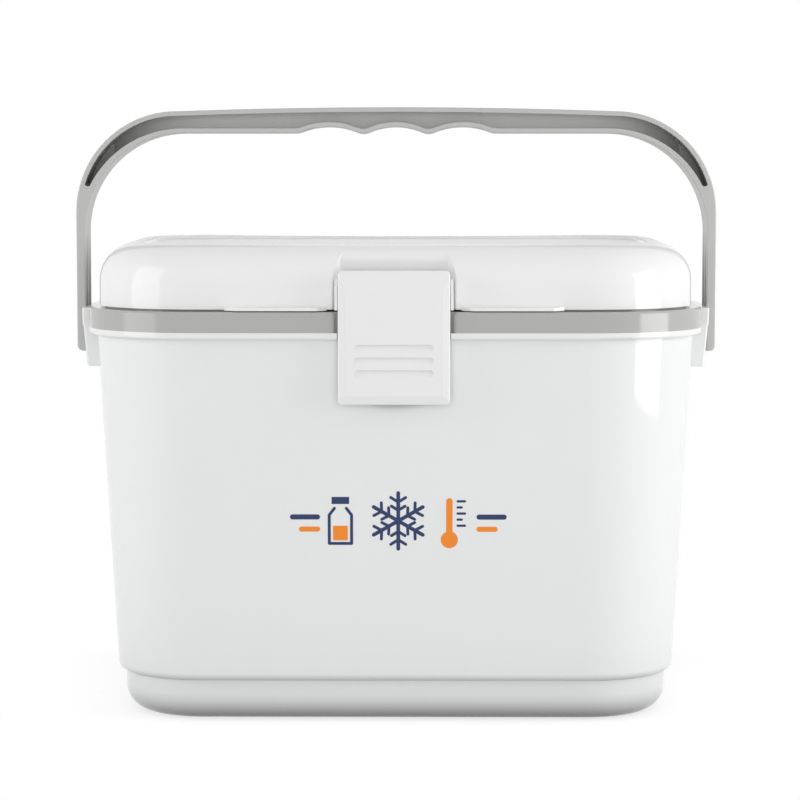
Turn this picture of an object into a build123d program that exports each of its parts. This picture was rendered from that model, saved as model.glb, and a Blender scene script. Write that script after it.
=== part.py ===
"""Vaccine carrier: an insulated cool box with a hinged lid, a front latch and a swinging bail handle.

Millimetres. X runs to the user's right, Y to the back and Z up. The origin is the middle of the
footprint, on the surface that the carrier stands on. The latch faces -Y.
"""
from build123d import *
from math import asin, atan2, cos, degrees, radians, sin, tan
import os

os.makedirs("parts", exist_ok=True)

# Rim band: the widest ring of the box, which every other outline is inset from.
BAND_HALF_X = 157.6
BAND_HALF_Y = 102.0
BAND_CORNER = 60.0
BAND_TOP = 209.0
LIP_TOP = 198.6
WALL_TOP = 195.2
LIP_ROUND = 1.4

# Outer tub
SKIN = 2.5
WALL_DRAFT = 3.2
WALL_INSET = 4.0
WALL_FOOT_ROUND = 4.0
STEP_HEIGHT = 21.2
STEP_INSET = 3.8
FOOT_ROUND = 13.0
BASE_THICK = 6.0
BASE_POCKET = 3.0
FOOT_RING = 34.0
ARCH_RISE = 0.6
ARCH_HALF = 96.0
FILL_HOLE_R = 12.0

# Liner of the cold chamber
LINER_SKIN = 2.0
CHAMBER_HALF_X = 131.0
CHAMBER_HALF_Y = 76.0
CHAMBER_CORNER = 34.0
CHAMBER_DRAFT = 2.2
CHAMBER_FLOOR = 26.0
LINER_FLANGE = 9.0

# Lid
LID_INSET = 5.4
LID_BOTTOM = 210.0
LID_TOP = 242.0
LID_ROUND = 19.5
LID_DIP = 1.0
LID_DIP_HALF = 118.0
TRAY_INSET = 21.5
TRAY_DEPTH = 2.2
LID_GAP = 0.8
UPSTAND_THICK = 2.2
FLANGE_LOW = 211.4
FLANGE_THICK = 2.5
PLUG_BOTTOM = 192.5
PLUG_INSET = 3.0
PLUG_DRAFT = 2.2
GASKET_WIDTH = 6.0
GASKET_INSET = 19.6

# Finger tabs on the lid's lower front edge
TAB_NEAR = 33.5
TAB_FAR = 84.5
TAB_PROUD = 4.6
TAB_THICK = 1.6
TAB_DROP = 0.5
TAB_RISE = 3.0
TAB_RAMP = 5.0

# Latch and the pocket that it lies in
LATCH_HALF = 27.8
LATCH_FRONT = -105.0
LATCH_BACK = -99.2
LATCH_LOW = 163.1
LATCH_TOP = 229.6
LATCH_CURVE_FROM = 218.0
LATCH_CROWN = 1.6
LATCH_BEVEL = 3.7
LATCH_BEVEL_DEPTH = 0.7
LATCH_FOOT = 4.4
LATCH_FOOT_DEPTH = 1.3
LATCH_CORNER = 1.4
LATCH_SKIN = 2.4
LATCH_EDGE = 0.8
LATCH_PIN_Y = -99.5
LATCH_PIN_Z = 222.2
LATCH_PIN_R = 1.5
LATCH_BOSS_R = 3.9
GROOVE_HALF = 19.6
GROOVE_HEIGHT = 3.9
GROOVE_DEPTH = 1.5
GROOVE_CENTRES = (178.6, 184.9, 191.2)
POCKET_FLOOR_Y = -90.5
POCKET_FLOOR_HALF = 26.9
POCKET_MOUTH_HALF = 31.0
POCKET_BROW = 6.0
LUG_THICK = 1.4
PIN_SEAT = 1.1
LUG_FRONT = -103.0
LUG_TOP = 225.2
LUG_LOW = 210.0
SIDE_GAP = 0.3

# Finger scoop in the tub below the latch: a ball shape with a flat roof that the latch's bead snaps under
SCOOP_R = 60.0
SCOOP_CENTRE_Y = -149.4
SCOOP_CENTRE_Z = 187.7
SCOOP_ROOF = 182.0
SCOOP_HALF = 26.0
SCOOP_RIM = 9.0
SCOOP_PANEL_HALF = 36.0
SCOOP_PANEL_LOW = 150.0
SCOOP_PANEL_BACK = -80.0
NOTCH_GAP = 1.7
NOTCH_ROUND = 2.2
LIP_NOTCH_GAP = 0.5
BEAD_HALF = 14.0
BEAD_HEIGHT = 5.0
BEAD_REACH = -97.6

# Rear hinge
HINGE_Y = 100.0
HINGE_Z = 203.2
HINGE_X = 62.0
KNUCKLE_R = 3.6
KNUCKLE_HALF = 12.2
EAR_END = 21.0
HINGE_PIN_R = 1.6
FIXED_GAP = 0.02
RUNNING_GAP = 0.06

# Bail handle
ARM_OUTER = 168.0
ARM_INNER = 163.4
ARM_END = 183.5
HANDLE_DEPTH = 26.0
PIVOT_Z = 191.5
TRUNNION_R = 6.0
TRUNNION_END = 155.0
BAR_UNDER = 297.6
BAR_TOP = 311.3
SHOULDER_X = 115.0
SHOULDER_R = 53.0
SHOULDER_Z = 256.2
INSIDE_X = 112.0
INSIDE_R = 51.0
FLANGE = 2.4
WEB = 10.0
WEB_RAMP_FROM = 100.0
WEB_RAMP_TO = 150.0
WEB_RAMP_FLOOR = 9.0
REAR_RECESS_HALF = 120.0
RECESS_TIP = 270.0
RECESS_LOWER_R = 54.5
RECESS_LOWER_Z = 245.7
RECESS_TIP_ROUND = 1.1
RIDGE_ROUND = 8.0
RIDGE_DROP = 1.1
ARM_END_ROUND = 3.0
HANDLE_EDGE = 0.7
GRIP_HALF = 50.0
SCALLOP_PITCH = 34.0
SCALLOP_RISE = 3.3
ARM_GROOVE_DEPTH = 0.5
ARM_GROOVE_WIDTH = 7.5
ARM_RIB = 4.0
ARM_GROOVE_TOP = 248.0
ARM_GROOVE_RAMP = 30.0
ARM_GROOVE_LOW = 204.0

# Brackets that carry the handle
BRACKET_HALF_Y = 37.7
BRACKET_LOW = 177.2
BRACKET_SEAM = 198.8
BRACKET_TOP = 207.7
BRACKET_FACE_LOW = 160.0
BRACKET_FACE_SEAM = 161.8
CAP_FACE_TOP = 162.4
BRACKET_EDGE = 1.1
SCREW_Y = 26.0
SCREW_Z = 186.5
SCREW_SHANK_R = 2.0
SCREW_HEAD_R = 4.0
SCREW_HEAD = 2.6
SCREW_TIP = 149.6

# Ice packs, one against each wall of the chamber
PACK_WIDTH = 94.0
PACK_THICK = 33.0
PACK_BODY = 150.0
PACK_HEIGHT = 163.0
PACK_CORNER = 9.0
PACK_DIMPLE = 3.0
PACK_NECK_R = 10.0
PACK_CAP_R = 14.0
PACK_CAP = 10.0
PACK_END_X = 107.0
PACK_SIDE_Y = 51.5

# Roots and overlaps that only join shapes
SINK = 1.0
BIG = 500.0


def inset_prism(inset, low, high):
    """Upright prism of the rim band's outline, moved in by inset."""
    outline = RectangleRounded(
        2 * (BAND_HALF_X - inset), 2 * (BAND_HALF_Y - inset), BAND_CORNER - inset
    )
    return extrude(Pos(0, 0, low) * outline, amount=high - low)


def drafted_prism(half_x, half_y, corner, low, high, draft):
    """Prism that is widest at its top and narrows downward at the draft angle."""
    shrink = (high - low) * tan(radians(draft))
    outline = RectangleRounded(
        2 * (half_x - shrink), 2 * (half_y - shrink), corner - shrink
    )
    return extrude(Pos(0, 0, low) * outline, amount=high - low, taper=-draft)


def block(x0, x1, y0, y1, z0, z1):
    """Box between two corners."""
    middle = Pos((x0 + x1) / 2, (y0 + y1) / 2, (z0 + z1) / 2)
    return middle * Box(abs(x1 - x0), abs(y1 - y0), abs(z1 - z0))


def rod_x(radius, x0, x1, y, z):
    """Round bar along X."""
    return Pos((x0 + x1) / 2, y, z) * Cylinder(radius, abs(x1 - x0), rotation=(0, 90, 0))


def side_profile(points, x0, x1):
    """Flat outline in the YZ plane, given as (y, z) points, made solid from x0 to x1."""
    face = make_face(Polyline(*[(x0, y, z) for y, z in points], close=True))
    return extrude(face, amount=x1 - x0, dir=(1, 0, 0))


def edges_at(shape, z, tolerance=0.05):
    """Every edge of the shape that lies flat at height z."""
    return shape.edges().filter_by_position(Axis.Z, z - tolerance, z + tolerance)


def both_sides(make):
    """The piece for +X and its mirror image for -X."""
    right = make()
    return {"right": right, "left": mirror(right, about=Plane.YZ)}


def wall_inset(z):
    """How far the tub's drafted wall lies inside the band at height z."""
    return WALL_INSET + (WALL_TOP - z) * tan(radians(WALL_DRAFT))


def tub_wall(extra, low, high):
    """Drafted wall block of the tub, moved in by extra."""
    inset = wall_inset(high) + extra
    return drafted_prism(
        BAND_HALF_X - inset, BAND_HALF_Y - inset, BAND_CORNER - inset, low, high, WALL_DRAFT
    )


def scoop(extra):
    """Finger scoop below the latch, grown by extra for the skin behind it."""
    ball = Pos(0, SCOOP_CENTRE_Y, SCOOP_CENTRE_Z) * Sphere(SCOOP_R + extra)
    roof = SCOOP_ROOF + extra
    half = SCOOP_HALF + extra
    return ball & block(-half, half, -BIG, 0, roof - 2 * SCOOP_R, roof)


def screw_places():
    """Centres (y, z) of the two bracket screws on one side."""
    return [(-SCREW_Y, SCREW_Z), (SCREW_Y, SCREW_Z)]


def screw_holes(radius, x0, x1):
    """Round holes for the bracket screws on both sides of the box."""
    rods = [rod_x(radius, side * x0, side * x1, y, z)
            for side in (1, -1) for y, z in screw_places()]
    return Part() + rods


def notch_front(extra):
    """Space in the rim for the latch, grown by extra for the skin behind it."""
    half = LATCH_HALF + NOTCH_GAP + extra
    return block(-half, half, -BIG, -(BAND_HALF_Y - WALL_INSET - extra), WALL_TOP, BAND_TOP + SINK)


def notch_rear(extra):
    """Spaces in the band for the lid's two hinge knuckles, grown by extra."""
    half = KNUCKLE_HALF + SIDE_GAP + extra
    low = HINGE_Z - KNUCKLE_R - 1
    face = BAND_HALF_Y - 6.5 - extra
    return Part() + [
        block(x - half, x + half, face, BIG, low, BAND_TOP + SINK)
        for x in (-HINGE_X, HINGE_X)
    ]


def tub_cavity():
    """Inside of the outer tub, which the insulation fills."""
    skirt = wall_inset(STEP_HEIGHT) + STEP_INSET
    upper = tub_wall(SKIN, STEP_HEIGHT + SKIN, LIP_TOP)
    lower = inset_prism(skirt + SKIN, BASE_THICK, STEP_HEIGHT + SKIN + SINK)
    lower = fillet(edges_at(lower, BASE_THICK), FOOT_ROUND - 5)
    return upper + lower - scoop(SKIN)


def round_notch(shape, low, high):
    """Round the upright corners, between two heights, that the latch's notch leaves in the rim."""
    half = LATCH_HALF + NOTCH_GAP
    corners = [e for e in shape.edges().filter_by(Axis.Z)
               if abs(abs((e @ 0.5).X) - half) < 0.01 and (e @ 0.5).Y < -BAND_HALF_Y + 0.01
               and low < (e @ 0.5).Z < high]
    return fillet(corners, NOTCH_ROUND)


def whole_tub():
    """Tub moulding below its lip, with the finger scoop in its front."""
    skirt = wall_inset(STEP_HEIGHT) + STEP_INSET
    wall = tub_wall(0, STEP_HEIGHT, LIP_TOP)
    wall = fillet(edges_at(wall, STEP_HEIGHT), WALL_FOOT_ROUND)
    foot = inset_prism(skirt, 0, STEP_HEIGHT + SINK)
    foot = fillet(edges_at(foot, 0), FOOT_ROUND)
    tub = wall + foot - notch_front(0) - scoop(0) - tub_cavity()
    tub -= inset_prism(skirt + FOOT_RING, -SINK, BASE_POCKET)
    arch_r = (ARCH_HALF ** 2 + ARCH_RISE ** 2) / (2 * ARCH_RISE)
    tub -= Pos(0, 0, ARCH_RISE - arch_r) * Cylinder(arch_r, 2 * BAND_HALF_Y, rotation=(90, 0, 0))
    tub -= Cylinder(FILL_HOLE_R, 4 * BASE_THICK)
    tub -= screw_holes(SCREW_SHANK_R, SCREW_TIP, BRACKET_FACE_SEAM)
    wall_y = wall_inset(SCOOP_CENTRE_Z) - BAND_HALF_Y
    rim = [e for e in tub.edges() if abs((e @ 0.5).X) < SINK and (e @ 0.5).Z < LATCH_LOW
           and abs((e @ 0.5).Y - wall_y) < 3]
    return fillet(rim, SCOOP_RIM)


def scoop_window():
    """Stretch of the front wall that the scoop takes up, from below it to the top of the tub."""
    return block(-SCOOP_PANEL_HALF, SCOOP_PANEL_HALF, -BIG, SCOOP_PANEL_BACK, SCOOP_PANEL_LOW, LIP_TOP + SINK)


def make_tub_lip():
    """White lip round the top of the tub, in three lengths between the brackets and the latch's notch."""
    lip = inset_prism(0, WALL_TOP, LIP_TOP)
    lip = fillet(edges_at(lip, WALL_TOP), LIP_ROUND)
    lip -= block(-BIG, BIG, -BRACKET_HALF_Y - SIDE_GAP, BRACKET_HALF_Y + SIDE_GAP,
                 WALL_TOP - SINK, LIP_TOP + SINK)
    clear = LATCH_HALF + LIP_NOTCH_GAP
    lip -= tub_wall(0, STEP_HEIGHT, LIP_TOP + SINK) + block(-clear, clear, -BIG, 0, WALL_TOP - SINK, LIP_TOP + SINK)
    return Compound(children=list(lip.solids()))


def make_foam_fill_plug():
    """Stopper in the hole that the foam was poured through."""
    disc = Pos(0, 0, (BASE_POCKET + BASE_THICK) / 2) * Cylinder(
        FILL_HOLE_R - FIXED_GAP, BASE_THICK - BASE_POCKET
    )
    return disc - Pos(0, 0, BASE_POCKET) * Box(FILL_HOLE_R, 2, 2)


def chamber(extra, low, high):
    """Inside of the cold chamber, grown by extra."""
    rise = high - BAND_TOP
    grow = extra + rise * tan(radians(CHAMBER_DRAFT))
    return drafted_prism(CHAMBER_HALF_X + grow, CHAMBER_HALF_Y + grow, CHAMBER_CORNER + grow,
                         low, high, CHAMBER_DRAFT)


def liner_envelope():
    """Outside of the liner, with the flange that it hangs by."""
    body = chamber(LINER_SKIN, CHAMBER_FLOOR - LINER_SKIN, BAND_TOP)
    body = fillet(edges_at(body, CHAMBER_FLOOR - LINER_SKIN), 10)
    top = BAND_TOP - SKIN
    flange = drafted_prism(
        CHAMBER_HALF_X + LINER_FLANGE, CHAMBER_HALF_Y + LINER_FLANGE,
        CHAMBER_CORNER + LINER_FLANGE, top - LINER_SKIN, top, CHAMBER_DRAFT
    )
    return body + flange


def make_inner_liner():
    inside = chamber(0, CHAMBER_FLOOR, BAND_TOP)
    inside = fillet(edges_at(inside, CHAMBER_FLOOR), 8)
    return liner_envelope() - inside


def hinge_ears():
    """Fixed barrels of the two rear hinges, either side of each knuckle."""
    near, far = KNUCKLE_HALF + SIDE_GAP, EAR_END
    return Part() + [
        rod_x(KNUCKLE_R, x + side * near, x + side * far, HINGE_Y, HINGE_Z)
        for x in (-HINGE_X, HINGE_X) for side in (-1, 1)
    ]


def make_tub_insulation():
    rim = inset_prism(SKIN, LIP_TOP, BAND_TOP - SKIN)
    foam = tub_cavity() + rim - liner_envelope() - notch_front(SKIN) - notch_rear(SKIN)
    return foam - hinge_ears() - screw_holes(SCREW_SHANK_R, SCREW_TIP, BRACKET_FACE_SEAM)


def make_rim_band():
    """Grey band: top plate and outer wall, with an upstand that the lid closes over."""
    band = inset_prism(0, LIP_TOP, BAND_TOP)
    band = fillet(edges_at(band, BAND_TOP), 1.5)
    band -= inset_prism(SKIN, LIP_TOP - SINK, BAND_TOP - SKIN) - notch_front(SKIN) - notch_rear(SKIN)
    lid_inside = LID_INSET + SKIN + LID_GAP
    upstand = inset_prism(lid_inside, BAND_TOP - SINK, BAND_TOP + 2)
    upstand -= inset_prism(lid_inside + UPSTAND_THICK, BAND_TOP - 2 * SINK, BAND_TOP + 3)
    clear = POCKET_MOUTH_HALF + 4
    upstand -= block(-clear, clear, -BIG, 0, BAND_TOP, BAND_TOP + 3)
    band += upstand
    band -= chamber(LINER_SKIN, LIP_TOP - SINK, BAND_TOP + SINK)
    band -= notch_front(0) + notch_rear(0)
    band += hinge_ears()
    for x in (-HINGE_X, HINGE_X):
        band -= rod_x(HINGE_PIN_R + FIXED_GAP, x - EAR_END, x + EAR_END, HINGE_Y, HINGE_Z)
    return round_notch(band, LIP_TOP, BAND_TOP)


def make_hinge_pin():
    return rod_x(HINGE_PIN_R, HINGE_X - EAR_END, HINGE_X + EAR_END, HINGE_Y, HINGE_Z)


def latch_pocket(extra):
    """Flat with slanted sides, cut in the lid's rounded front for the latch, grown by extra for the skin."""
    slope = (POCKET_MOUTH_HALF - POCKET_FLOOR_HALF) / (BAND_HALF_Y - LID_INSET + POCKET_FLOOR_Y)
    back = POCKET_FLOOR_Y + extra
    front = -BAND_HALF_Y - 2
    narrow = POCKET_FLOOR_HALF + extra * (1 - slope)
    wide = narrow + slope * (back - front)
    low = LID_BOTTOM - SINK
    corners = [(-wide, front, low), (wide, front, low), (narrow, back, low), (-narrow, back, low)]
    face = make_face(Polyline(*corners, close=True))
    return extrude(face, amount=LID_TOP + SINK - low, dir=(0, 0, 1))


def lid_form():
    """Outside of the lid: rounded top, long edges that dip a little, and a shallow tray."""
    form = inset_prism(LID_INSET, LID_BOTTOM, LID_TOP)
    form = fillet(edges_at(form, LID_TOP), LID_ROUND)
    tray = inset_prism(TRAY_INSET + LID_INSET, LID_TOP - TRAY_DEPTH, LID_TOP + SINK)
    tray = fillet(edges_at(tray, LID_TOP - TRAY_DEPTH), TRAY_DEPTH * 0.8)
    form -= tray
    dip_r = (LID_DIP_HALF ** 2 + LID_DIP ** 2) / (2 * LID_DIP)
    return form - Pos(0, 0, LID_TOP - LID_DIP + dip_r) * Cylinder(
        dip_r, 3 * BAND_HALF_Y, rotation=(90, 0, 0)
    )


def lid_hollow():
    """Inside of the lid's shell."""
    hollow = inset_prism(LID_INSET + SKIN, LID_BOTTOM - SINK, LID_TOP - TRAY_DEPTH - SKIN)
    hollow = fillet(edges_at(hollow, LID_TOP - TRAY_DEPTH - SKIN), LID_ROUND - SKIN)
    return hollow - latch_pocket(SKIN)


def finger_tab():
    """Lip to lift the lid by, with a hollow curve that runs up into the wall, and ends that run out in it."""
    face_y = -(BAND_HALF_Y - LID_INSET)
    low = LID_BOTTOM - TAB_DROP
    tip = face_y - TAB_PROUD
    join = face_y + 0.01
    back = face_y + SINK
    curve = Spline((TAB_NEAR, tip, low + TAB_THICK), (TAB_NEAR, join, low + TAB_RISE),
                   tangents=[(0, 1, 0.25), (0, 0.06, 1)])
    edge = curve + Polyline(
        (TAB_NEAR, join, low + TAB_RISE), (TAB_NEAR, back, low + TAB_RISE),
        (TAB_NEAR, back, low), (TAB_NEAR, tip, low), (TAB_NEAR, tip, low + TAB_THICK)
    )
    bar = extrude(make_face(edge), amount=TAB_FAR - TAB_NEAR, dir=(1, 0, 0))
    plan = make_face(Polyline(
        (TAB_NEAR, back, low), (TAB_NEAR, join - 0.2, low), (TAB_NEAR + TAB_RAMP, tip, low),
        (TAB_FAR - TAB_RAMP, tip, low), (TAB_FAR, join - 0.2, low), (TAB_FAR, back, low), close=True
    ))
    return bar & extrude(plan, amount=TAB_RISE + SINK, dir=(0, 0, 1))


def hinge_leaf():
    """Knuckle under the lid's rear edge, with the leaf that joins it to the wall."""
    wall = BAND_HALF_Y - LID_INSET
    x0, x1 = HINGE_X - KNUCKLE_HALF, HINGE_X + KNUCKLE_HALF
    out = HINGE_Y + KNUCKLE_R
    leaf = side_profile(
        [(wall - SKIN, LID_BOTTOM + 1.2), (wall - SKIN, LID_BOTTOM + 13), (wall + 0.5, LID_BOTTOM + 13),
         (out, HINGE_Z + 0.8), (out, HINGE_Z), (wall + 0.9, HINGE_Z), (wall + 0.9, LID_BOTTOM + 1.2)],
        x0, x1
    )
    knuckle = rod_x(KNUCKLE_R, x0, x1, HINGE_Y, HINGE_Z)
    return leaf + knuckle - rod_x(HINGE_PIN_R + RUNNING_GAP, x0, x1, HINGE_Y, HINGE_Z)


def latch_lug():
    """Ear beside the latch that holds the end of its pin."""
    x0 = LATCH_HALF + SIDE_GAP
    ear = side_profile(
        [(LUG_FRONT, LUG_LOW), (LUG_FRONT, LUG_TOP - 3), (LUG_FRONT + 3, LUG_TOP),
         (POCKET_FLOOR_Y + FIXED_GAP, LUG_TOP), (POCKET_FLOOR_Y + FIXED_GAP, LID_BOTTOM),
         (POCKET_FLOOR_Y - 4, LUG_LOW)],
        x0, x0 + LUG_THICK
    )
    ear -= lid_hollow()
    return ear - rod_x(LATCH_PIN_R + FIXED_GAP, x0, x0 + PIN_SEAT, LATCH_PIN_Y, LATCH_PIN_Z)


def ease_brow(shell):
    """Round the edge over the latch where the pocket's floor runs up into the lid's front."""
    across = shell.edges().filter_by(Axis.X).filter_by_position(Axis.Y, POCKET_FLOOR_Y - 0.1, POCKET_FLOOR_Y + 0.1)
    return fillet(across.sort_by(Axis.Z)[-1], POCKET_BROW)


def make_lid_shell():
    shell = ease_brow(lid_form() - latch_pocket(0)) - lid_hollow()
    for part in (finger_tab(), latch_lug(), hinge_leaf()):
        shell += part + mirror(part, about=Plane.YZ)
    pin_end = LATCH_HALF + SIDE_GAP + PIN_SEAT
    return shell - rod_x(LATCH_PIN_R + FIXED_GAP, -pin_end, pin_end, LATCH_PIN_Y, LATCH_PIN_Z)


def plug_form(extra):
    """Plug under the lid that reaches into the chamber, moved in by extra."""
    inset = PLUG_INSET + extra
    return drafted_prism(CHAMBER_HALF_X - inset, CHAMBER_HALF_Y - inset, CHAMBER_CORNER - inset,
                         PLUG_BOTTOM + extra, FLANGE_LOW + FLANGE_THICK, PLUG_DRAFT)


def make_lid_liner():
    flange = inset_prism(LID_INSET + SKIN + SIDE_GAP, FLANGE_LOW, FLANGE_LOW + FLANGE_THICK)
    flange -= latch_pocket(SKIN + SIDE_GAP)
    plug = fillet(edges_at(plug_form(0), PLUG_BOTTOM), 5)
    hollow = fillet(edges_at(plug_form(LINER_SKIN), PLUG_BOTTOM + LINER_SKIN), 3)
    return flange + plug - hollow


def make_lid_insulation():
    top = FLANGE_LOW + FLANGE_THICK
    upper = lid_hollow() - block(-BIG, BIG, -BIG, BIG, LID_BOTTOM - 2 * SINK, top)
    lower = fillet(edges_at(plug_form(LINER_SKIN), PLUG_BOTTOM + LINER_SKIN), 3)
    return upper + lower


def make_lid_gasket():
    ring = inset_prism(GASKET_INSET, BAND_TOP, FLANGE_LOW)
    return ring - inset_prism(GASKET_INSET + GASKET_WIDTH, BAND_TOP - SINK, FLANGE_LOW + SINK)


def latch_side(skin):
    """Side outline of the latch's plate, moved in by skin: flat front, crowned top and a foot that slopes back."""
    front = LATCH_FRONT + skin
    low = LATCH_LOW + skin
    top = LATCH_TOP - skin
    crest = front + LATCH_CROWN
    back = LATCH_BACK + (SINK if skin else 0)
    half = LATCH_HALF - skin
    edges = Polyline((-half, crest, top), (-half, back, top), (-half, back, low),
                     (-half, front + LATCH_FOOT_DEPTH, low), (-half, front, low + LATCH_FOOT),
                     (-half, front, LATCH_CURVE_FROM))
    crown = TangentArc((-half, front, LATCH_CURVE_FROM), (-half, crest, top), tangent=(0, 0, 1))
    return extrude(make_face([edges, crown]), amount=2 * half, dir=(1, 0, 0))


def latch_plan(skin):
    """Top outline of the latch's plate: the front falls back a little towards each side."""
    front = LATCH_FRONT + skin
    half = LATCH_HALF - skin
    flat = LATCH_HALF - LATCH_BEVEL
    back = LATCH_BACK + SINK
    points = [(-half, back), (-half, front + LATCH_BEVEL_DEPTH), (-flat, front), (flat, front),
              (half, front + LATCH_BEVEL_DEPTH), (half, back)]
    face = make_face(Polyline(*[(x, y, LATCH_LOW - SINK) for x, y in points], close=True))
    return extrude(face, amount=LATCH_TOP - LATCH_LOW + 2 * SINK, dir=(0, 0, 1))


def latch_front(skin):
    """Front outline of the latch's plate: a rectangle with its four corners cut."""
    half = LATCH_HALF - skin
    height = LATCH_TOP - LATCH_LOW - 2 * skin
    plate = Pos(0, (LATCH_FRONT + LATCH_BACK) / 2, (LATCH_TOP + LATCH_LOW) / 2) * Box(2 * half, BIG / 10, height)
    return chamfer(plate.edges().filter_by(Axis.Y), LATCH_CORNER)


def latch_body(skin):
    """Solid form of the latch's plate, moved in by skin."""
    return latch_side(skin) & latch_plan(skin) & latch_front(skin)


def grip_groove(z):
    """Groove for the fingertip: steep at its upper edge and sloping out below, with round ends."""
    half = GROOVE_HEIGHT / 2
    wedge = side_profile(
        [(LATCH_FRONT - SINK, z + half), (LATCH_FRONT + GROOVE_DEPTH, z + half - 0.4),
         (LATCH_FRONT + GROOVE_DEPTH * 0.8, z + half - 1.4), (LATCH_FRONT, z - half), (LATCH_FRONT - SINK, z - half)],
        -GROOVE_HALF, GROOVE_HALF
    )
    slot = Plane.XZ * Pos(0, z) * SlotOverall(2 * GROOVE_HALF, GROOVE_HEIGHT + 0.02)
    return wedge & (Pos(0, LATCH_FRONT, 0) * extrude(slot, amount=2 * GROOVE_DEPTH, both=True))


def make_latch():
    plate = latch_body(0)
    front_edges = [e for e in plate.edges() if (e @ 0.5).Y < LATCH_BACK - SINK and (
        abs((e @ 0.5).X) > LATCH_HALF - LATCH_CORNER or (e @ 0.5).Z < LATCH_LOW + SINK
        or (e @ 0.5).Z > LATCH_TOP - SINK)]
    plate = fillet(front_edges, LATCH_EDGE)
    latch = plate - latch_body(LATCH_SKIN)
    for side in (-1, 1):
        latch += rod_x(LATCH_BOSS_R, side * LATCH_HALF, side * (LATCH_HALF - LATCH_SKIN), LATCH_PIN_Y, LATCH_PIN_Z)
    inside = LATCH_HALF - SINK
    latch += rod_x(LATCH_PIN_R + 1.6, -inside, inside, LATCH_PIN_Y, LATCH_PIN_Z)
    latch += block(-inside, inside, LATCH_FRONT + SINK, LATCH_PIN_Y, LATCH_PIN_Z - 1.2, LATCH_PIN_Z + 1.2)
    bead_top = SCOOP_ROOF - 1
    latch += side_profile(
        [(LATCH_FRONT + SINK, bead_top - BEAD_HEIGHT), (LATCH_FRONT + SINK, bead_top), (LATCH_BACK, bead_top),
         (BEAD_REACH, bead_top - 1), (BEAD_REACH, bead_top - 2), (LATCH_BACK, bead_top - BEAD_HEIGHT)],
        -BEAD_HALF, BEAD_HALF
    )
    latch -= rod_x(LATCH_PIN_R + RUNNING_GAP, -LATCH_HALF - SINK, LATCH_HALF + SINK, LATCH_PIN_Y, LATCH_PIN_Z)
    for z in GROOVE_CENTRES:
        latch -= grip_groove(z)
    return latch


def make_latch_pin():
    end = LATCH_HALF + SIDE_GAP + PIN_SEAT
    return rod_x(LATCH_PIN_R, -end, end, LATCH_PIN_Y, LATCH_PIN_Z)


def arc_point(centre_x, centre_z, radius, angle):
    """Point in the XZ plane on a circle, with the angle measured up from +X."""
    return (centre_x + radius * cos(radians(angle)), 0, centre_z + radius * sin(radians(angle)))


def scallops(lift):
    """Underside of the grip: three finger arcs, raised by lift, with a ridge on each side of the middle one."""
    under = BAR_UNDER + lift
    half = SCALLOP_PITCH / 2
    ridge = under - RIDGE_DROP
    top = under + SCALLOP_RISE
    return [
        ThreePointArc((-3 * half, 0, under), (-SCALLOP_PITCH, 0, top), (-half, 0, ridge)),
        ThreePointArc((-half, 0, ridge), (0, 0, top), (half, 0, ridge)),
        ThreePointArc((half, 0, ridge), (SCALLOP_PITCH, 0, top), (3 * half, 0, under)),
    ]


def handle_outline():
    """Front view of the bail: outer edge with two shoulders, inner edge with the finger grip."""
    inside_z = BAR_UNDER - INSIDE_R
    grip = 1.5 * SCALLOP_PITCH
    outer = [
        Line((-ARM_OUTER, 0, ARM_END), (-ARM_OUTER, 0, SHOULDER_Z)),
        ThreePointArc((-ARM_OUTER, 0, SHOULDER_Z), arc_point(-SHOULDER_X, SHOULDER_Z, SHOULDER_R, 135),
                      (-SHOULDER_X, 0, SHOULDER_Z + SHOULDER_R)),
        ThreePointArc((-SHOULDER_X, 0, SHOULDER_Z + SHOULDER_R), (0, 0, BAR_TOP),
                      (SHOULDER_X, 0, SHOULDER_Z + SHOULDER_R)),
        ThreePointArc((SHOULDER_X, 0, SHOULDER_Z + SHOULDER_R), arc_point(SHOULDER_X, SHOULDER_Z, SHOULDER_R, 45),
                      (ARM_OUTER, 0, SHOULDER_Z)),
        Line((ARM_OUTER, 0, SHOULDER_Z), (ARM_OUTER, 0, ARM_END)),
        Line((ARM_OUTER, 0, ARM_END), (ARM_INNER, 0, ARM_END)),
        Line((ARM_INNER, 0, ARM_END), (ARM_INNER, 0, inside_z)),
        ThreePointArc((ARM_INNER, 0, inside_z), arc_point(INSIDE_X, inside_z, INSIDE_R, 45),
                      (INSIDE_X, 0, BAR_UNDER)),
        Line((INSIDE_X, 0, BAR_UNDER), (grip, 0, BAR_UNDER)),
        Line((-grip, 0, BAR_UNDER), (-INSIDE_X, 0, BAR_UNDER)),
        ThreePointArc((-INSIDE_X, 0, BAR_UNDER), arc_point(-INSIDE_X, inside_z, INSIDE_R, 135),
                      (-ARM_INNER, 0, inside_z)),
        Line((-ARM_INNER, 0, inside_z), (-ARM_INNER, 0, ARM_END)),
        Line((-ARM_INNER, 0, ARM_END), (-ARM_OUTER, 0, ARM_END)),
    ]
    return make_face(outer + scallops(0))


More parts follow.
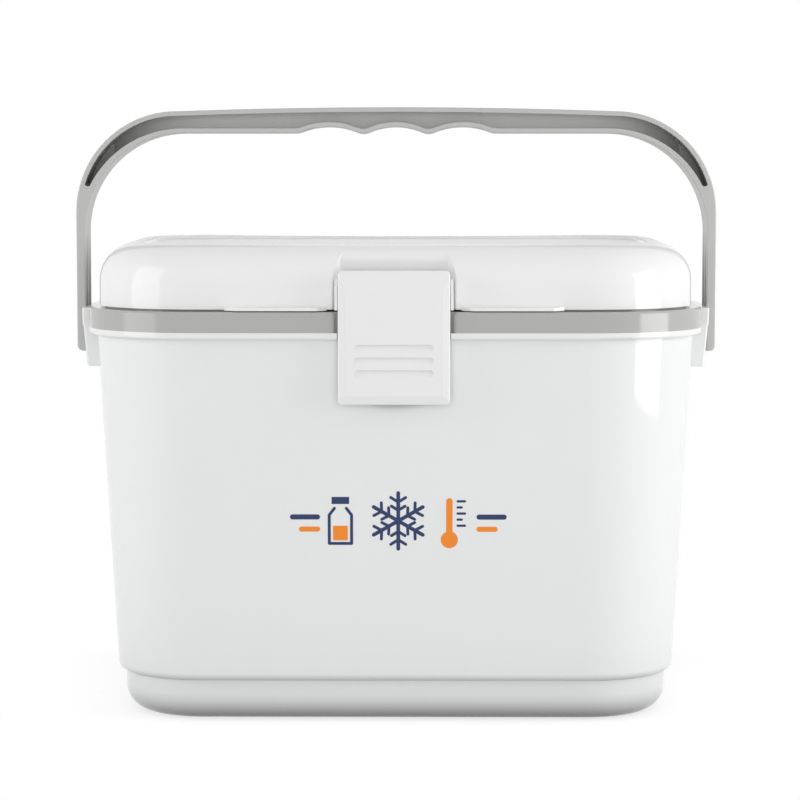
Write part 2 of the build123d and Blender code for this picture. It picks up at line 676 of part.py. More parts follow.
def recess_outline():
    """Front recess of the bail, a flange's width inside its edges, down to a point at each shoulder."""
    grip = 1.5 * SCALLOP_PITCH
    low = RECESS_LOWER_Z + RECESS_LOWER_R
    outer_r = SHOULDER_R - FLANGE
    up = degrees(asin((RECESS_TIP - SHOULDER_Z) / outer_r))
    down = degrees(asin((RECESS_TIP - RECESS_LOWER_Z) / RECESS_LOWER_R))
    outer_end = arc_point(SHOULDER_X, SHOULDER_Z, outer_r, up)
    inner_end = arc_point(INSIDE_X, RECESS_LOWER_Z, RECESS_LOWER_R, down)
    inner_middle = arc_point(INSIDE_X, RECESS_LOWER_Z, RECESS_LOWER_R, (90 + down) / 2)

    def flip(point):
        return (-point[0], point[1], point[2])

    top = SHOULDER_Z + outer_r
    edges = [
        ThreePointArc((-SHOULDER_X, 0, top), (0, 0, BAR_TOP - FLANGE), (SHOULDER_X, 0, top)),
        ThreePointArc((SHOULDER_X, 0, top), arc_point(SHOULDER_X, SHOULDER_Z, outer_r, (90 + up) / 2), outer_end),
        Line(outer_end, inner_end),
        ThreePointArc(inner_end, inner_middle, (INSIDE_X, 0, low)),
        Line((INSIDE_X, 0, low), (grip, 0, low)),
        Line((-grip, 0, low), (-INSIDE_X, 0, low)),
        ThreePointArc((-INSIDE_X, 0, low), flip(inner_middle), flip(inner_end)),
        Line(flip(inner_end), flip(outer_end)),
        ThreePointArc(flip(outer_end), flip(arc_point(SHOULDER_X, SHOULDER_Z, outer_r, (90 + up) / 2)),
                      (-SHOULDER_X, 0, top)),
    ]
    return make_face(edges + scallops(low - BAR_UNDER))


def ease_ridges(shape, low):
    """Round the ridges beside the finger arcs, whose edges run along Y at height low or a little under it."""
    pitch = SCALLOP_PITCH
    across = shape.edges().filter_by(Axis.Y).filter_by_position(Axis.Z, low - RIDGE_DROP - 0.05, low + 0.05)
    ridges = [e for e in across if abs(abs((e @ 0.5).X) % pitch - pitch / 2) < 0.01]
    return fillet(ridges, RIDGE_ROUND)


def arm_groove():
    """Groove down the inside of an arm, which runs out to nothing at its upper end."""
    inner, floor = ARM_INNER - SINK, ARM_INNER + ARM_GROOVE_DEPTH
    points = [(inner, ARM_GROOVE_LOW), (floor, ARM_GROOVE_LOW), (floor, ARM_GROOVE_TOP - ARM_GROOVE_RAMP),
              (ARM_INNER, ARM_GROOVE_TOP), (inner, ARM_GROOVE_TOP)]
    half = ARM_GROOVE_WIDTH / 2
    return extrude(make_face(Polyline(*[(x, -half, z) for x, z in points], close=True)),
                   amount=2 * half, dir=(0, 1, 0))


def recess_depth():
    """Top view of the front recess: level over the grip, then ever deeper towards each shoulder's tip."""
    web = -WEB / 2
    rise = WEB_RAMP_FLOOR - web
    run = WEB_RAMP_TO - WEB_RAMP_FROM
    bend = (run ** 2 + rise ** 2) / (2 * rise)
    halfway = atan2(run, bend - rise) / 2
    middle = (WEB_RAMP_FROM + bend * sin(halfway), web + bend * (1 - cos(halfway)))
    front = -HANDLE_DEPTH
    outline = [
        Line((-WEB_RAMP_FROM, web), (WEB_RAMP_FROM, web)),
        ThreePointArc((WEB_RAMP_FROM, web), middle, (WEB_RAMP_TO, WEB_RAMP_FLOOR)),
        Polyline((WEB_RAMP_TO, WEB_RAMP_FLOOR), (ARM_OUTER, WEB_RAMP_FLOOR), (ARM_OUTER, front),
                 (-ARM_OUTER, front), (-ARM_OUTER, WEB_RAMP_FLOOR), (-WEB_RAMP_TO, WEB_RAMP_FLOOR)),
        ThreePointArc((-WEB_RAMP_TO, WEB_RAMP_FLOOR), (-middle[0], middle[1]), (-WEB_RAMP_FROM, web)),
    ]
    return extrude(make_face(outline), amount=BIG, dir=(0, 0, 1))


def make_handle():
    half = HANDLE_DEPTH / 2
    bail = extrude(handle_outline(), amount=half, both=True, dir=(0, 1, 0))
    bail = ease_ridges(bail, BAR_UNDER)
    ends = bail.edges().filter_by(Axis.Y).filter_by_position(Axis.Z, ARM_END - 0.05, ARM_END + 0.05)
    bail = fillet([e for e in ends if abs((e @ 0.5).X) > ARM_OUTER - SINK], ARM_END_ROUND)
    faces = [f for f in bail.faces() if abs(f.normal_at().Y) > 0.99]
    bail = fillet([e for f in faces for e in f.edges()], HANDLE_EDGE)
    pocket = extrude(recess_outline(), amount=HANDLE_DEPTH, dir=(0, 1, 0))
    pocket = ease_ridges(pocket, RECESS_LOWER_Z + RECESS_LOWER_R)
    tips = pocket.edges().filter_by(Axis.Y).filter_by_position(Axis.Z, RECESS_TIP - 0.1, RECESS_TIP + 0.1)
    pocket = fillet(tips, RECESS_TIP_ROUND)
    bail -= Pos(0, -half - SINK, 0) * pocket & recess_depth()
    bail -= Pos(0, WEB / 2, 0) * pocket & block(-REAR_RECESS_HALF, REAR_RECESS_HALF, -BIG, BIG, 0, BIG)
    grooves = [Pos(0, side * (ARM_RIB + ARM_GROOVE_WIDTH) / 2, 0) * arm_groove() for side in (-1, 1)]
    for groove in grooves:
        bail -= groove + mirror(groove, about=Plane.YZ)
    for side in (-1, 1):
        bail += rod_x(TRUNNION_R, side * TRUNNION_END, side * (ARM_INNER + SINK), 0, PIVOT_Z)
    return bail


def bracket_profile(points, rounding):
    """Front outline of a bracket piece, (x, z) points, made solid along Y with its outer corners rounded."""
    face = make_face(Polyline(*[(x, -BRACKET_HALF_Y, z) for x, z in points], close=True))
    piece = extrude(face, amount=2 * BRACKET_HALF_Y, dir=(0, 1, 0))
    outermost = max(x for x, z in points)
    corners = [e for e in piece.edges()
               if abs((e @ 0).Y - (e @ 1).Y) < SIDE_GAP and (e @ 0.5).X > outermost - rounding
               and abs((e @ 0).Z - (e @ 1).Z) > SINK]
    return fillet(corners, rounding)


def trunnion_seat(x0, x1):
    """Slot, open at the top, that the handle's trunnion drops into."""
    radius = TRUNNION_R + RUNNING_GAP
    slot = block(x0, x1, -radius, radius, PIVOT_Z, BRACKET_SEAM + SINK)
    return slot + rod_x(radius, x0, x1, 0, PIVOT_Z)


def make_bracket():
    inner = BAND_HALF_X - 8
    body = bracket_profile(
        [(inner, BRACKET_LOW), (BRACKET_FACE_LOW - BRACKET_EDGE, BRACKET_LOW),
         (BRACKET_FACE_LOW, BRACKET_LOW + BRACKET_EDGE), (BRACKET_FACE_SEAM, BRACKET_SEAM), (inner, BRACKET_SEAM)],
        BRACKET_EDGE
    )
    body -= tub_wall(0, STEP_HEIGHT, LIP_TOP + SINK)
    body -= inset_prism(0, LIP_TOP, BAND_TOP)
    body -= trunnion_seat(TRUNNION_END - SIDE_GAP, BIG)
    head = BRACKET_FACE_LOW - SCREW_HEAD
    for y, z in screw_places():
        body -= rod_x(SCREW_SHANK_R, inner - SINK, BIG, y, z)
        body -= rod_x(SCREW_HEAD_R, head, BIG, y, z)
    return body


def make_pivot_cap():
    """White block over the bracket, with a tongue that closes the slot above the trunnion."""
    radius = TRUNNION_R + RUNNING_GAP
    inner = BAND_HALF_X + 0.1
    cap = bracket_profile(
        [(inner, BRACKET_SEAM), (BRACKET_FACE_SEAM + 0.4, BRACKET_SEAM), (CAP_FACE_TOP, BRACKET_TOP - BRACKET_EDGE / 2),
         (CAP_FACE_TOP - BRACKET_EDGE / 2, BRACKET_TOP), (inner, BRACKET_TOP)],
        BRACKET_EDGE
    )
    tongue = block(inner, BRACKET_FACE_SEAM - 0.3, -radius + 0.1, radius - 0.1, PIVOT_Z + 2, BRACKET_SEAM + SINK)
    return cap + tongue - rod_x(radius, TRUNNION_END, BIG, 0, PIVOT_Z)


def make_bracket_screws():
    screws = []
    head = BRACKET_FACE_LOW - SCREW_HEAD
    for side in (-1, 1):
        for y, z in screw_places():
            x0, x1 = sorted((side * SCREW_TIP, side * head))
            h0, h1 = sorted((side * head, side * (BRACKET_FACE_LOW - 0.4)))
            screw = rod_x(SCREW_SHANK_R - FIXED_GAP, x0, x1, y, z) + rod_x(SCREW_HEAD_R - 0.3, h0, h1, y, z)
            slot0, slot1 = sorted((side * (BRACKET_FACE_LOW - 1.6), side * BRACKET_FACE_LOW))
            screw -= block(slot0, slot1, y - 2.6, y + 2.6, z - 0.5, z + 0.5)
            screw -= block(slot0, slot1, y - 0.5, y + 0.5, z - 2.6, z + 2.6)
            screws.append(screw)
    return Compound(children=[s.solid() for s in screws])


def make_ice_pack():
    """Flat water bottle, standing on its short edge with its neck up."""
    body = Pos(0, 0, PACK_BODY / 2) * Box(PACK_WIDTH, PACK_THICK, PACK_BODY)
    body = fillet(body.edges(), PACK_CORNER)
    dimple = Box(PACK_WIDTH * 0.6, PACK_DIMPLE * 2, PACK_BODY * 0.62)
    dimple = fillet(dimple.edges(), PACK_DIMPLE * 0.9)
    for side in (-1, 1):
        body -= Pos(0, side * (PACK_THICK / 2), PACK_BODY * 0.48) * dimple
    neck_top = PACK_HEIGHT - 2
    neck = Pos(0, 0, (PACK_BODY + neck_top) / 2 - SINK) * Cylinder(PACK_NECK_R, neck_top - PACK_BODY + 2 * SINK)
    return body + neck


def make_ice_pack_cap():
    """Ribbed screw cap over the pack's neck."""
    low = PACK_HEIGHT - PACK_CAP
    cap = Pos(0, 0, low + PACK_CAP / 2) * Cylinder(PACK_CAP_R, PACK_CAP)
    cap = chamfer(edges_at(cap, PACK_HEIGHT), 1.2)
    cap -= Pos(0, 0, low - SINK + (PACK_CAP - 1) / 2) * Cylinder(PACK_NECK_R + FIXED_GAP, PACK_CAP - 1 + 2 * SINK)
    for turn in range(18):
        cap -= Rot(0, 0, turn * 20) * Pos(PACK_CAP_R + 0.5, 0, low + PACK_CAP / 2) * Cylinder(1.2, PACK_CAP + SINK)
    return cap


PACK_PLACES = {
    "front": Pos(0, -PACK_SIDE_Y, CHAMBER_FLOOR),
    "rear": Pos(0, PACK_SIDE_Y, CHAMBER_FLOOR),
    "left": Pos(-PACK_END_X, 0, CHAMBER_FLOOR) * Rot(0, 0, 90),
    "right": Pos(PACK_END_X, 0, CHAMBER_FLOOR) * Rot(0, 0, 90),
}


def make_lid_fill_plug():
    """Stopper in the middle of the lid's plug, over the hole for its foam."""
    middle = PLUG_BOTTOM + LINER_SKIN / 2
    return Pos(0, 0, middle) * Cylinder(FILL_HOLE_R - FIXED_GAP, LINER_SKIN)


def all_parts():
    tub = whole_tub()
    parts = {
        "outer_tub": tub - scoop_window(),
        "tub_scoop": tub & scoop_window(),
        "tub_lip": make_tub_lip(),
        "foam_fill_plug": make_foam_fill_plug(),
        "tub_insulation": make_tub_insulation(),
        "inner_liner": make_inner_liner(),
        "rim_band": make_rim_band(),
        "lid_shell": make_lid_shell(),
        "lid_insulation": make_lid_insulation(),
        "lid_liner": make_lid_liner() - Pos(0, 0, PLUG_BOTTOM) * Cylinder(FILL_HOLE_R, 2 * LINER_SKIN),
        "lid_fill_plug": make_lid_fill_plug(),
        "lid_gasket": make_lid_gasket(),
        "latch": make_latch(),
        "latch_pin": make_latch_pin(),
        "handle": make_handle(),
        "bracket_screws": make_bracket_screws(),
    }
    for name, make in (("handle_bracket", make_bracket), ("pivot_cap", make_pivot_cap),
                       ("hinge_pin", make_hinge_pin)):
        for side, piece in both_sides(make).items():
            parts[f"{name}_{side}"] = piece
    pack, cap = make_ice_pack(), make_ice_pack_cap()
    for wall, place in PACK_PLACES.items():
        parts[f"ice_pack_{wall}"] = place * pack
        parts[f"ice_pack_cap_{wall}"] = place * cap
    return parts


for node, solid in all_parts().items():
    solid.label = node
    export_step(solid, f"parts/{node}.step")
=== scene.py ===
"""Vaccine carrier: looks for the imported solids, in metres."""
import math

import bmesh
import bpy
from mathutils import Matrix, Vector
from mathutils.geometry import delaunay_2d_cdt


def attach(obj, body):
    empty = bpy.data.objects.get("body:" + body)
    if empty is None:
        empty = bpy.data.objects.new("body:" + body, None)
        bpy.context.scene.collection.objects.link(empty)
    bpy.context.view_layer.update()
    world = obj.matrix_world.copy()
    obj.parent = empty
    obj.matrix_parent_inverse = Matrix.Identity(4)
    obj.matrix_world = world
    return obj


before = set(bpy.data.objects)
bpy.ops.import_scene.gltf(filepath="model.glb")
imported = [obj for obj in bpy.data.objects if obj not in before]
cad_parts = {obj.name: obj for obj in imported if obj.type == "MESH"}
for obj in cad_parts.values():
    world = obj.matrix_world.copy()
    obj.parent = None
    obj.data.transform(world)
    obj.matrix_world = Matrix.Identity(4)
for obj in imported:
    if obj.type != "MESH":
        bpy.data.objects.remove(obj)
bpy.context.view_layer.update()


# Outer tub: one injection moulding of polypropylene from a polished steel tool, drafted so that it
# leaves the tool, with a stepped foot and a lip at the rim. The rigid foam is poured in behind it.
# The handle's brackets and their caps are the same plastic, screwed on at the sides.

def ink(hex_code):
    """Linear colour for an sRGB hex code."""
    channels = [int(hex_code[i:i + 2], 16) / 255 for i in (1, 3, 5)]
    return [c / 12.92 if c <= 0.04045 else ((c + 0.055) / 1.055) ** 2.4 for c in channels] + [1.0]


def node(tree, kind, settings=None, links=None, **options):
    """Add a node, set its inputs and options, and link outputs of other nodes to its inputs."""
    made = tree.nodes.new(kind)
    for name, value in options.items():
        setattr(made, name, value)
    for name, value in (settings or {}).items():
        made.inputs[name].default_value = value
    for name, output in (links or {}).items():
        tree.links.new(output, made.inputs[name])
    return made


def new_material(name):
    """Empty node material with its output, and object coordinates in metres."""
    material = bpy.data.materials.new(name)
    material.use_nodes = True
    tree = material.node_tree
    tree.nodes.clear()
    place = node(tree, "ShaderNodeTexCoord").outputs["Object"]
    output = node(tree, "ShaderNodeOutputMaterial")
    return material, tree, place, output


def dress(nodes, material):
    """Give every slot of the named CAD solids the material."""
    for name in nodes:
        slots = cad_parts[name].data.materials
        slots.clear()
        slots.append(material)


# Polished polypropylene is glossy and a little wavy: it shrinks unevenly as it cools, so the edges
# of reflections wander slowly. The skin is faintly pebbled, and handling leaves a haze in patches.
TUB_WHITE = "#ECEDED"
TUB_SHADE = "#E9EAEA"
POLYPROPYLENE_IOR = 1.49
SINK_SPACING_MM = 55
SINK_DEPTH = 0.0004
HAZE_PATCH_MM = 38
HAZE_GRAIN = 0.62
PEEL_MM = 1.6
tub_plastic, tree, place, output = new_material("Moulded polypropylene, polished white")
sinks = node(tree, "ShaderNodeTexNoise", {"Scale": 1000 / SINK_SPACING_MM, "Detail": 1.0},
             {"Vector": place})
peel = node(tree, "ShaderNodeTexNoise", {"Scale": 1000 / PEEL_MM, "Detail": 2.0}, {"Vector": place})
haze = node(tree, "ShaderNodeTexNoise",
            {"Scale": 1000 / HAZE_PATCH_MM, "Detail": 5.0, "Roughness": HAZE_GRAIN},
            {"Vector": place})
gloss = node(tree, "ShaderNodeMapRange",
             {"From Min": 0.35, "From Max": 0.75, "To Min": 0.03, "To Max": 0.07},
             {"Value": haze.outputs["Fac"]})
colour = node(tree, "ShaderNodeMix", {"A": ink(TUB_WHITE), "B": ink(TUB_SHADE)},
              {"Factor": haze.outputs["Fac"]}, data_type="RGBA")
wave = node(tree, "ShaderNodeBump", {"Strength": 0.35, "Distance": SINK_DEPTH},
            {"Height": sinks.outputs["Fac"]})
skin = node(tree, "ShaderNodeBump", {"Strength": 0.10, "Distance": 0.00002},
            {"Height": peel.outputs["Fac"], "Normal": wave.outputs["Normal"]})
plastic = node(tree, "ShaderNodeBsdfPrincipled", {"IOR": POLYPROPYLENE_IOR},
               {"Base Color": colour.outputs["Result"], "Roughness": gloss.outputs["Result"],
                "Normal": skin.outputs["Normal"]})
tree.links.new(plastic.outputs["BSDF"], output.inputs["Surface"])
dress(["outer_tub", "tub_lip", "tub_scoop", "handle_bracket_left", "handle_bracket_right",
       "pivot_cap_left", "pivot_cap_right"], tub_plastic)


# Lid shell: moulded like the tub, in the same white. Its top is a shallow tray that things are set
# down on, so where the shell faces straight up it has a satin grain, with a few scratches.
LID_WHITE = "#EFF0EF"
SCRATCH_SPACING_MM = 7
SCRATCH_FINENESS = 9.0
SCRATCH_ANGLE = 0.5
LEVEL_FROM = 0.90
LEVEL_FULL = 0.99
lid_plastic, tree, place, output = new_material(
    "Moulded polypropylene lid, polished white, satin tray")
sinks = node(tree, "ShaderNodeTexNoise", {"Scale": 1000 / SINK_SPACING_MM, "Detail": 1.0},
             {"Vector": place})
haze = node(tree, "ShaderNodeTexNoise",
            {"Scale": 1000 / HAZE_PATCH_MM, "Detail": 5.0, "Roughness": HAZE_GRAIN},
            {"Vector": place})
stretch = node(tree, "ShaderNodeMapping",
               {"Scale": (1.0, SCRATCH_FINENESS, 1.0), "Rotation": (0.0, 0.0, SCRATCH_ANGLE)},
               {"Vector": place})
scratch = node(tree, "ShaderNodeTexNoise", {"Scale": 1000 / SCRATCH_SPACING_MM, "Detail": 3.0},
               {"Vector": stretch.outputs["Vector"]})
lines = node(tree, "ShaderNodeMapRange",
             {"From Min": 0.62, "From Max": 0.70, "To Min": 0.22, "To Max": 0.24},
             {"Value": scratch.outputs["Fac"]})
facing = node(tree, "ShaderNodeTexCoord").outputs["Normal"]
up = node(tree, "ShaderNodeSeparateXYZ", {}, {"Vector": facing})
level = node(tree, "ShaderNodeMapRange", {"From Min": LEVEL_FROM, "From Max": LEVEL_FULL},
             {"Value": up.outputs["Z"]})
worn = node(tree, "ShaderNodeMath", {},
            {0: lines.outputs["Result"], 1: level.outputs["Result"]}, operation="MULTIPLY")
smooth = node(tree, "ShaderNodeMapRange",
              {"From Min": 0.35, "From Max": 0.75, "To Min": 0.025, "To Max": 0.05},
              {"Value": haze.outputs["Fac"]})
gloss = node(tree, "ShaderNodeMath", {},
             {0: worn.outputs["Value"], 1: smooth.outputs["Result"]}, operation="ADD")
wave = node(tree, "ShaderNodeBump", {"Strength": 0.04, "Distance": SINK_DEPTH},
            {"Height": sinks.outputs["Fac"]})
plastic = node(tree, "ShaderNodeBsdfPrincipled",
               {"IOR": POLYPROPYLENE_IOR, "Base Color": ink(LID_WHITE)},
               {"Roughness": gloss.outputs["Value"], "Normal": wave.outputs["Normal"]})
tree.links.new(plastic.outputs["BSDF"], output.inputs["Surface"])
dress(["lid_shell"], lid_plastic)


# Latch: a stiff moulded plate on a steel pin, with three grooves for the fingertip. Thumbs dull the
# polish in patches.
LATCH_WHITE = "#ECEDEC"
latch_plastic, tree, place, output = new_material("Moulded acetal latch, polished white, handled")
haze = node(tree, "ShaderNodeTexNoise", {"Scale": 1000 / HAZE_PATCH_MM, "Detail": 4.0},
            {"Vector": place})
gloss = node(tree, "ShaderNodeMapRange",
             {"From Min": 0.3, "From Max": 0.8, "To Min": 0.14, "To Max": 0.22},
             {"Value": haze.outputs["Fac"]})
plastic = node(tree, "ShaderNodeBsdfPrincipled", {"IOR": 1.48, "Base Color": ink(LATCH_WHITE)},
               {"Roughness": gloss.outputs["Result"]})
tree.links.new(plastic.outputs["BSDF"], output.inputs["Surface"])
dress(["latch"], latch_plastic)


# Rim band: a grey moulding that closes the gap between tub and liner. It snaps over the tub's lip
# and carries the hinge ears. It comes from a polished tool, like the tub, and is a little duller.
BAND_GREY = "#AFAFAD"
band_plastic, tree, place, output = new_material("Moulded ABS rim band, polished grey")
sinks = node(tree, "ShaderNodeTexNoise", {"Scale": 1000 / SINK_SPACING_MM, "Detail": 1.0},
             {"Vector": place})
haze = node(tree, "ShaderNodeTexNoise", {"Scale": 1000 / HAZE_PATCH_MM, "Detail": 5.0},
            {"Vector": place})
gloss = node(tree, "ShaderNodeMapRange",
             {"From Min": 0.3, "From Max": 0.75, "To Min": 0.08, "To Max": 0.15},
             {"Value": haze.outputs["Fac"]})
wave = node(tree, "ShaderNodeBump", {"Strength": 0.3, "Distance": 0.0003},
            {"Height": sinks.outputs["Fac"]})
plastic = node(tree, "ShaderNodeBsdfPrincipled", {"IOR": 1.54, "Base Color": ink(BAND_GREY)},
               {"Roughness": gloss.outputs["Result"], "Normal": wave.outputs["Normal"]})
tree.links.new(plastic.outputs["BSDF"], output.inputs["Surface"])
dress(["rim_band"], band_plastic)


# Handle: a stiff grey moulding with a spark-eroded finish, so that it is satin and doesn't slip.
# Hands polish the middle of the grip. The grain is drawn at half a millimetre, so that it can be
# seen.
HANDLE_GREY = "#BBBBB9"
SPARK_GRAIN_MM = 0.5
POLISHED_TO = 0.045
SATIN_FROM = 0.075
HAZE_SHARE = 0.08
handle_plastic, tree, place, output = new_material(
    "Moulded polypropylene handle, spark-eroded satin grey")
grain = node(tree, "ShaderNodeTexNoise", {"Scale": 1000 / SPARK_GRAIN_MM, "Detail": 3.0},
             {"Vector": place})
haze = node(tree, "ShaderNodeTexNoise", {"Scale": 1000 / HAZE_PATCH_MM, "Detail": 4.0},
            {"Vector": place})
spot = node(tree, "ShaderNodeSeparateXYZ", {}, {"Vector": place})
side = node(tree, "ShaderNodeMath", {}, {0: spot.outputs["X"]}, operation="ABSOLUTE")
held = node(tree, "ShaderNodeMapRange",
            {"From Min": POLISHED_TO, "From Max": SATIN_FROM, "To Min": 0.24, "To Max": 0.34},
            {"Value": side.outputs["Value"]})
gloss = node(tree, "ShaderNodeMath", {1: HAZE_SHARE},
             {0: haze.outputs["Fac"], 2: held.outputs["Result"]}, operation="MULTIPLY_ADD")
spark = node(tree, "ShaderNodeBump", {"Strength": 0.08, "Distance": 0.00003},
             {"Height": grain.outputs["Fac"]})
plastic = node(tree, "ShaderNodeBsdfPrincipled",
               {"IOR": POLYPROPYLENE_IOR, "Base Color": ink(HANDLE_GREY)},
               {"Roughness": gloss.outputs["Value"], "Normal": spark.outputs["Normal"]})
tree.links.new(plastic.outputs["BSDF"], output.inputs["Surface"])
dress(["handle"], handle_plastic)


# Pins and screws: stainless steel wire and pan-head screws, turned and left with fine lines round
# them.
STEEL_GREY = "#C4C5C6"
TURNING_MM = 0.35
LINE_FINENESS = 12
steel, tree, place, output = new_material("Stainless steel, fine turned")
stretch = node(tree, "ShaderNodeMapping", {"Scale": (LINE_FINENESS, 1.0, 1.0)}, {"Vector": place})
rings = node(tree, "ShaderNodeTexNoise",
             {"Scale": 1000 / TURNING_MM / LINE_FINENESS, "Detail": 2.0},
             {"Vector": stretch.outputs["Vector"]})
gloss = node(tree, "ShaderNodeMapRange", {"To Min": 0.22, "To Max": 0.38},
             {"Value": rings.outputs["Fac"]})
metal = node(tree, "ShaderNodeBsdfPrincipled", {"Metallic": 1.0, "Base Color": ink(STEEL_GREY)},
             {"Roughness": gloss.outputs["Result"]})
tree.links.new(metal.outputs["BSDF"], output.inputs["Surface"])
dress(["hinge_pin_left", "hinge_pin_right", "latch_pin", "bracket_screws"], steel)


# Cold chamber: thermoformed liner of tub and lid, in high-impact polystyrene, satin and a touch
# warmer than the shells. The two filling plugs are the same plastic.
LINER_WHITE = "#E6E7E3"
FORMING_MM = 14
liner_plastic, tree, place, output = new_material("Thermoformed polystyrene liner, satin white")
draw = node(tree, "ShaderNodeTexNoise", {"Scale": 1000 / FORMING_MM, "Detail": 3.0},
            {"Vector": place})
gloss = node(tree, "ShaderNodeMapRange", {"To Min": 0.26, "To Max": 0.42},
             {"Value": draw.outputs["Fac"]})
wave = node(tree, "ShaderNodeBump", {"Strength": 0.2, "Distance": 0.0003},
            {"Height": draw.outputs["Fac"]})
plastic = node(tree, "ShaderNodeBsdfPrincipled", {"IOR": 1.59, "Base Color": ink(LINER_WHITE)},
               {"Roughness": gloss.outputs["Result"], "Normal": wave.outputs["Normal"]})
tree.links.new(plastic.outputs["BSDF"], output.inputs["Surface"])
dress(["inner_liner", "lid_liner", "foam_fill_plug", "lid_fill_plug"], liner_plastic)


# Insulation: rigid polyurethane foam poured between the shells, straw yellow, with cells under a
# millimetre across. It is drawn with cells of 1.5 mm, so that they can be seen. The hollow of each
# cell is painted darker than its rim, as painted shade in the pits.
FOAM_YELLOW = "#E8D9A6"
FOAM_PIT_SHADE = "#C9B67C"
CELL_MM = 1.5
foam, tree, place, output = new_material("Rigid polyurethane foam, cellular")
cells = node(tree, "ShaderNodeTexVoronoi", {"Scale": 1000 / CELL_MM}, {"Vector": place})
# Painted shade: darker colour where the bump sinks each cell.
colour = node(tree, "ShaderNodeMix", {"A": ink(FOAM_PIT_SHADE), "B": ink(FOAM_YELLOW)},
              {"Factor": cells.outputs["Distance"]}, data_type="RGBA")
pits = node(tree, "ShaderNodeBump", {"Strength": 0.8, "Distance": 0.0005},
            {"Height": cells.outputs["Distance"]})
plastic = node(tree, "ShaderNodeBsdfPrincipled", {"Roughness": 0.9},
               {"Base Color": colour.outputs["Result"], "Normal": pits.outputs["Normal"]})
tree.links.new(plastic.outputs["BSDF"], output.inputs["Surface"])
dress(["tub_insulation", "lid_insulation"], foam)


# Gasket: extruded EPDM rubber strip in the lid, pressed down on the band. It is dull, with a fine
# bloom.
GASKET_GREY = "#4A4C4E"
BLOOM_MM = 5
rubber, tree, place, output = new_material("Extruded EPDM rubber, dull")
bloom = node(tree, "ShaderNodeTexNoise", {"Scale": 1000 / BLOOM_MM, "Detail": 4.0},
             {"Vector": place})
gloss = node(tree, "ShaderNodeMapRange", {"To Min": 0.55, "To Max": 0.80},
             {"Value": bloom.outputs["Fac"]})
strip = node(tree, "ShaderNodeBsdfPrincipled", {"IOR": 1.50, "Base Color": ink(GASKET_GREY)},
             {"Roughness": gloss.outputs["Result"]})
tree.links.new(strip.outputs["BSDF"], output.inputs["Surface"])
dress(["lid_gasket"], rubber)


# Ice packs: blow-moulded polyethylene bottles full of water, milky and waxy. Their screw caps are
# solid blue polypropylene.
WALLS = ("front", "rear", "left", "right")
PACK_BLUE = "#BFD9E6"
pack_plastic, tree, place, output = new_material("Blow-moulded polyethylene, milky blue, waxy")
wax = node(tree, "ShaderNodeTexNoise", {"Scale": 1000 / FORMING_MM, "Detail": 4.0},
           {"Vector": place})
gloss = node(tree, "ShaderNodeMapRange", {"To Min": 0.30, "To Max": 0.50},
             {"Value": wax.outputs["Fac"]})
wave = node(tree, "ShaderNodeBump", {"Strength": 0.4, "Distance": 0.0005},
            {"Height": wax.outputs["Fac"]})
bottle = node(tree, "ShaderNodeBsdfPrincipled",
              {"IOR": 1.51, "Base Color": ink(PACK_BLUE),
               "Subsurface Weight": 0.35, "Subsurface Scale": 0.004},
              {"Roughness": gloss.outputs["Result"], "Normal": wave.outputs["Normal"]})
tree.links.new(bottle.outputs["BSDF"], output.inputs["Surface"])
dress([f"ice_pack_{wall}" for wall in WALLS], pack_plastic)

CAP_BLUE = "#1F4E96"
cap_plastic, tree, place, output = new_material("Moulded polypropylene cap, satin blue")
wax = node(tree, "ShaderNodeTexNoise", {"Scale": 1000 / FORMING_MM, "Detail": 4.0},
           {"Vector": place})
gloss = node(tree, "ShaderNodeMapRange", {"To Min": 0.28, "To Max": 0.40},
             {"Value": wax.outputs["Fac"]})
cap = node(tree, "ShaderNodeBsdfPrincipled",
           {"IOR": POLYPROPYLENE_IOR, "Base Color": ink(CAP_BLUE)},
           {"Roughness": gloss.outputs["Result"]})
tree.links.new(cap.outputs["BSDF"], output.inputs["Surface"])
dress([f"ice_pack_cap_{wall}" for wall in WALLS], cap_plastic)


# Print on the tub's front: two inks, pad-printed one after the other, which stand a few hundredths
# of a millimetre proud. Three signs for keeping medicine cold, in a row between bars. Their sizes
# are in millimetres, across and up from the print's middle.
PRINT_MIDDLE = (0.002, 0.1038)
PRINT_LIFT = 0.00008
PRINT_BLUE = "#1D2F5E"
PRINT_ORANGE = "#F28A1E"
PAD_MOTTLE_MM = 1.2
WALL_SLOPE = math.radians(3.2)
WALL_TOP_Y = -0.098
WALL_TOP_Z = 0.1952
JOIN_WITHIN_MM = 0.0001
DISC_CORNERS = 40


def stroke(start, end, width):
    """Corners of a straight stroke with square ends."""
    along = Vector((end[0] - start[0], end[1] - start[1])).normalized() * width / 2
    side = Vector((-along.y, along.x))
    return [Vector(start) - side, Vector(end) - side, Vector(end) + side, Vector(start) + side]


def disc(middle, radius):
    """Corners of a round dot."""
    angles = [math.radians(360 / DISC_CORNERS * i) for i in range(DISC_CORNERS)]
    return [Vector((middle[0] + radius * math.cos(a), middle[1] + radius * math.sin(a)))
            for a in angles]


def pill(start, end, width):
    """Stroke with round ends, as three outlines."""
    return [stroke(start, end, width), disc(start, width / 2), disc(end, width / 2)]


